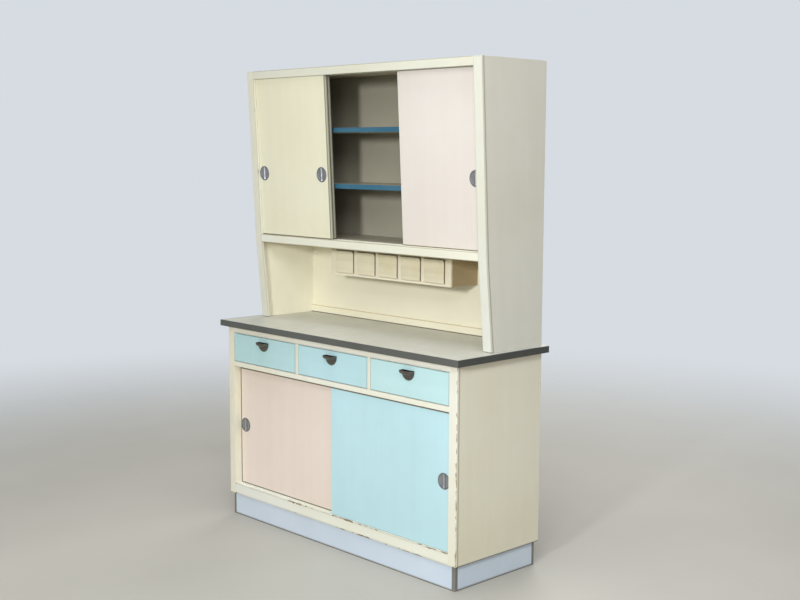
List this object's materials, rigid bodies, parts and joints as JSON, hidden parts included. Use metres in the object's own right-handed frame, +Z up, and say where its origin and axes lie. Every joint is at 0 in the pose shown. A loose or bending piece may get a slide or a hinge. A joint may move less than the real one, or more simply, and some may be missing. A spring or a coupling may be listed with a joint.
{
  "type": "kitchen buffet",
  "caption": "Painted two-part kitchen buffet: sliding doors and drawers below a worktop, a niche with pull-out scoops, and sliding doors above on a forward-leaning front.",
  "frame": {"origin": "middle of the bounding box's bottom face, on the floor", "axes": "+Z up, the doors and drawers face -Y, +X is the right-hand side seen from the front"},
  "size_m": [1.4, 0.49, 1.89],
  "materials": {
    "frame_paint": "brushed gloss paint on wood",
    "side_paint": "brushed gloss paint on panels",
    "interior_paint": "dull paint on board",
    "bare_wood": "bare planed wood",
    "cream_paint": "gloss paint on door board",
    "pale_pink_paint": "gloss paint on door board",
    "pink_paint": "gloss paint on door board",
    "blue_paint": "gloss paint on board",
    "plinth_paint": "gloss paint on board",
    "plinth_trim": "matt dark strip",
    "laminate": "satin laminate",
    "edge_strip": "satin dark strip",
    "shelf_edging": "satin blue strip",
    "rack_paint": "gloss paint on wood",
    "scoop": "cream moulded plastic",
    "pull_aluminium": "brushed and lacquered",
    "pull_bronze": "bronzed pressed metal"
  },
  "bodies": {
    "root": {"base_post_left": "frame_paint", "base_post_right": "frame_paint", "base_sill_rail": "frame_paint", "drawer_rail": "frame_paint", "base_top_rail": "frame_paint", "drawer_dividers": "frame_paint", "upper_post_left": "frame_paint", "upper_post_right": "frame_paint", "upper_sill_rail": "frame_paint", "upper_head_rail": "frame_paint", "base_side_left": "side_paint", "base_side_right": "side_paint", "upper_side_left": "side_paint", "upper_side_right": "side_paint", "upper_top": "side_paint", "niche_strip": "side_paint", "base_floor": "interior_paint", "base_back": "interior_paint", "base_partition": "interior_paint", "base_shelves": "interior_paint", "upper_floor": "interior_paint", "upper_back": "interior_paint", "upper_shelves": "interior_paint", "drawer_runners": "bare_wood", "upper_shelf_battens": "bare_wood", "worktop_board": "bare_wood", "plinth_boards": "plinth_paint", "plinth_trim": "plinth_trim", "worktop_surface": "laminate", "worktop_edge": "edge_strip", "shelf_edgings": "shelf_edging", "rack_face": "rack_paint", "scoop_rack": "rack_paint"},
    "lower_door_left": {"lower_door_left": "pink_paint", "lower_door_left_pull": "pull_aluminium"},
    "lower_door_right": {"lower_door_right": "blue_paint", "lower_door_right_pull": "pull_aluminium"},
    "upper_door_left": {"upper_door_left": "blue_paint", "upper_door_left_pull": "pull_aluminium"},
    "upper_door_middle": {"upper_door_middle": "cream_paint", "upper_door_middle_pull": "pull_aluminium"},
    "upper_door_right": {"upper_door_right": "pale_pink_paint", "upper_door_right_pull": "pull_aluminium"},
    "drawer_left": {"drawer_left_front": "blue_paint", "drawer_left_box": "bare_wood", "drawer_left_bottom": "bare_wood", "drawer_left_pull": "pull_bronze"},
    "drawer_middle": {"drawer_middle_front": "blue_paint", "drawer_middle_box": "bare_wood", "drawer_middle_bottom": "bare_wood", "drawer_middle_pull": "pull_bronze"},
    "drawer_right": {"drawer_right_front": "blue_paint", "drawer_right_box": "bare_wood", "drawer_right_bottom": "bare_wood", "drawer_right_pull": "pull_bronze"},
    "scoop_1": {"scoop_1": "scoop"},
    "scoop_2": {"scoop_2": "scoop"},
    "scoop_3": {"scoop_3": "scoop"},
    "scoop_4": {"scoop_4": "scoop"},
    "scoop_5": {"scoop_5": "scoop"}
  },
  "joints": [
    {"name": "lower_left_slide", "type": "slide", "parent": "root", "child": "lower_door_left", "axis": [1, 0, 0], "range_m": [0, 0.621]},
    {"name": "lower_right_slide", "type": "slide", "parent": "root", "child": "lower_door_right", "axis": [1, 0, 0], "range_m": [-0.621, 0]},
    {"name": "upper_left_slide", "type": "slide", "parent": "root", "child": "upper_door_left", "axis": [1, 0, 0], "range_m": [-0.018, 0.405]},
    {"name": "upper_middle_slide", "type": "slide", "parent": "root", "child": "upper_door_middle", "axis": [1, 0, 0], "range_m": [0, 0.822]},
    {"name": "upper_right_slide", "type": "slide", "parent": "root", "child": "upper_door_right", "axis": [1, 0, 0], "range_m": [-0.405, 0]},
    {"name": "drawer_left_slide", "type": "slide", "parent": "root", "child": "drawer_left", "axis": [0, -1, 0], "range_m": [0, 0.34]},
    {"name": "drawer_middle_slide", "type": "slide", "parent": "root", "child": "drawer_middle", "axis": [0, -1, 0], "range_m": [0, 0.34]},
    {"name": "drawer_right_slide", "type": "slide", "parent": "root", "child": "drawer_right", "axis": [0, -1, 0], "range_m": [0, 0.34]},
    {"name": "scoop_1_slide", "type": "slide", "parent": "root", "child": "scoop_1", "axis": [0, -1, 0], "range_m": [0, 0.13]},
    {"name": "scoop_2_slide", "type": "slide", "parent": "root", "child": "scoop_2", "axis": [0, -1, 0], "range_m": [0, 0.13]},
    {"name": "scoop_3_slide", "type": "slide", "parent": "root", "child": "scoop_3", "axis": [0, -1, 0], "range_m": [0, 0.13]},
    {"name": "scoop_4_slide", "type": "slide", "parent": "root", "child": "scoop_4", "axis": [0, -1, 0], "range_m": [0, 0.13]},
    {"name": "scoop_5_slide", "type": "slide", "parent": "root", "child": "scoop_5", "axis": [0, -1, 0], "range_m": [0, 0.13]}
  ]
}
